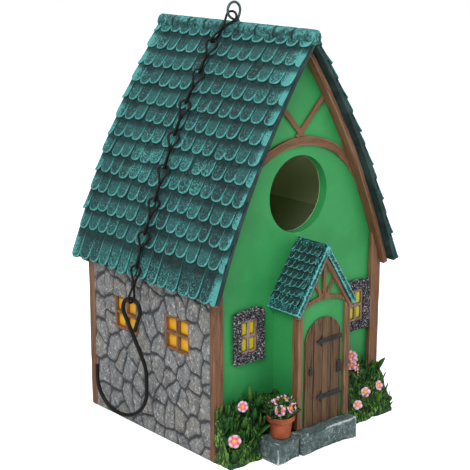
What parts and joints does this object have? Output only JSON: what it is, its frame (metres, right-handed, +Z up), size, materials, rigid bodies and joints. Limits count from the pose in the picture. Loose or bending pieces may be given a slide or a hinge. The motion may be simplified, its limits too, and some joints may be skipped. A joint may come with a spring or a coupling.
{
  "type": "birdhouse",
  "caption": "Hanging cottage birdhouse with a bowed tiled roof, fieldstone side walls, timber-framed plaster gable, round bird entrance, false porch and door, and a hook on a wire chain.",
  "frame": {"origin": "middle of the base's underside", "axes": "+Z up to the ridge, front wall with the entrance hole faces -Y, the stone wall beside the hanging hook faces -X"},
  "size_m": [0.1364, 0.1313, 0.2127],
  "materials": {
    "plaster_green": "matt painted resin",
    "fieldstone": "dry-brushed painted resin",
    "base": "bare grey-green resin",
    "timber": "brown painted resin",
    "door_paint": "brown painted resin",
    "iron_paint": "dark painted resin",
    "roof_tile": "teal dry-brushed resin",
    "roof_panel": "dark resin",
    "window_stone": "speckled painted resin",
    "window_yellow": "yellow painted resin",
    "sash_paint": "pink-brown painted resin",
    "step_stone": "speckled painted resin",
    "terracotta": "terracotta painted resin",
    "foliage": "green painted resin",
    "black_wire": "black coated steel wire",
    "loop_paint": "teal painted steel wire",
    "plug_rubber": "black rubber"
  },
  "bodies": {
    "house": {"back_wall": "plaster_green", "bargeboard_back_left": "timber", "bargeboard_back_right": "timber", "bargeboard_front_left": "timber", "bargeboard_front_right": "timber", "corner_post_back_left": "timber", "corner_post_back_right": "timber", "corner_post_front_left": "timber", "corner_post_front_right": "timber", "door_planks": "door_paint", "door_plates": "iron_paint", "doorstep_long": "step_stone", "doorstep_small": "step_stone", "floor_panel": "base", "flower_pot": "terracotta", "front_wall": "plaster_green", "front_window_panes": "window_yellow", "front_window_sashes": "sash_paint", "gable_arch": "timber", "gable_brace": "timber", "garden_left": "foliage", "garden_right": "foliage", "hanging_loop": "loop_paint", "left_wall": "fieldstone", "porch_front_wall": "plaster_green", "porch_post_left": "timber", "porch_post_right": "timber", "porch_rafters": "timber", "porch_roof_left": "roof_tile", "porch_roof_right": "roof_tile", "porch_side_left": "plaster_green", "porch_side_right": "plaster_green", "porch_truss": "timber", "pot_plant": "foliage", "ridge_cap": "roof_tile", "right_wall": "fieldstone", "roof_panel_left": "roof_panel", "roof_panel_right": "roof_panel", "roof_tiles_left": "roof_tile", "roof_tiles_right": "roof_tile", "side_window_frames_left": "timber", "side_window_frames_right": "timber", "side_window_panes_left": "window_yellow", "side_window_panes_right": "window_yellow", "strap_hinge_lower": "iron_paint", "strap_hinge_upper": "iron_paint", "window_surround_left": "window_stone", "window_surround_right": "window_stone"},
    "chain_link_1": {"chain_link_1": "black_wire"},
    "chain_link_2": {"chain_link_2": "black_wire"},
    "chain_link_3": {"chain_link_3": "black_wire"},
    "chain_link_4": {"chain_link_4": "black_wire"},
    "chain_link_5": {"chain_link_5": "black_wire"},
    "chain_link_6": {"chain_link_6": "black_wire"},
    "chain_link_7": {"chain_link_7": "black_wire"},
    "chain_link_8": {"chain_link_8": "black_wire"},
    "chain_link_9": {"chain_link_9": "black_wire"},
    "hanging_hook": {"hanging_hook": "black_wire"},
    "clean_out_plug": {"clean_out_plug": "plug_rubber"}
  },
  "joints": [
    {"name": "link_1_swing", "type": "hinge", "parent": "house", "child": "chain_link_1", "pos_m": [-0.0016, -0.0021, 0.2071], "axis": [-0.2816, 0.7922, 0.5414], "range_deg": [0, 40]},
    {"name": "link_2_swing", "type": "hinge", "parent": "chain_link_1", "child": "chain_link_2", "pos_m": [-0.01091, 0.00447, 0.19264], "axis": [0.8154, 0.495, -0.3001], "range_deg": [0, 40]},
    {"name": "link_3_swing", "type": "hinge", "parent": "chain_link_2", "child": "chain_link_3", "pos_m": [-0.01942, 0.0029, 0.17983], "axis": [-0.6021, 0.7071, 0.3708], "range_deg": [0, 40]},
    {"name": "link_4_swing", "type": "hinge", "parent": "chain_link_3", "child": "chain_link_4", "pos_m": [-0.02912, 0.0029, 0.16408], "axis": [0.6021, 0.7071, -0.3708], "range_deg": [0, 40]},
    {"name": "link_5_swing", "type": "hinge", "parent": "chain_link_4", "child": "chain_link_5", "pos_m": [-0.03655, 0.0019, 0.15074], "axis": [-0.6599, 0.704, 0.2626], "range_deg": [0, 40]},
    {"name": "link_6_swing", "type": "hinge", "parent": "chain_link_5", "child": "chain_link_6", "pos_m": [-0.04493, 0.00015, 0.13434], "axis": [0.5993, 0.704, -0.3811], "range_deg": [0, 40]},
    {"name": "link_7_swing", "type": "hinge", "parent": "chain_link_6", "child": "chain_link_7", "pos_m": [-0.05128, -0.00087, 0.12045], "axis": [-0.6498, 0.7071, 0.2789], "range_deg": [0, 40]},
    {"name": "link_8_swing", "type": "hinge", "parent": "chain_link_7", "child": "chain_link_8", "pos_m": [-0.05836, -0.00065, 0.10336], "axis": [0.6565, 0.7071, -0.2629], "range_deg": [0, 40]},
    {"name": "link_9_swing", "type": "hinge", "parent": "chain_link_8", "child": "chain_link_9", "pos_m": [-0.0636, -0.00117, 0.08899], "axis": [-0.3702, 0.9268, 0.0636], "range_deg": [0, 40]},
    {"name": "hook_swing", "type": "hinge", "parent": "chain_link_9", "child": "hanging_hook", "pos_m": [-0.06807, -0.00172, 0.07104], "axis": [0.8969, 0.3744, -0.2352], "range_deg": [-20, 45]},
    {"name": "plug_slide", "type": "slide", "parent": "house", "child": "clean_out_plug", "axis": [0, 0, -1], "range_m": [0, 0.03]}
  ]
}
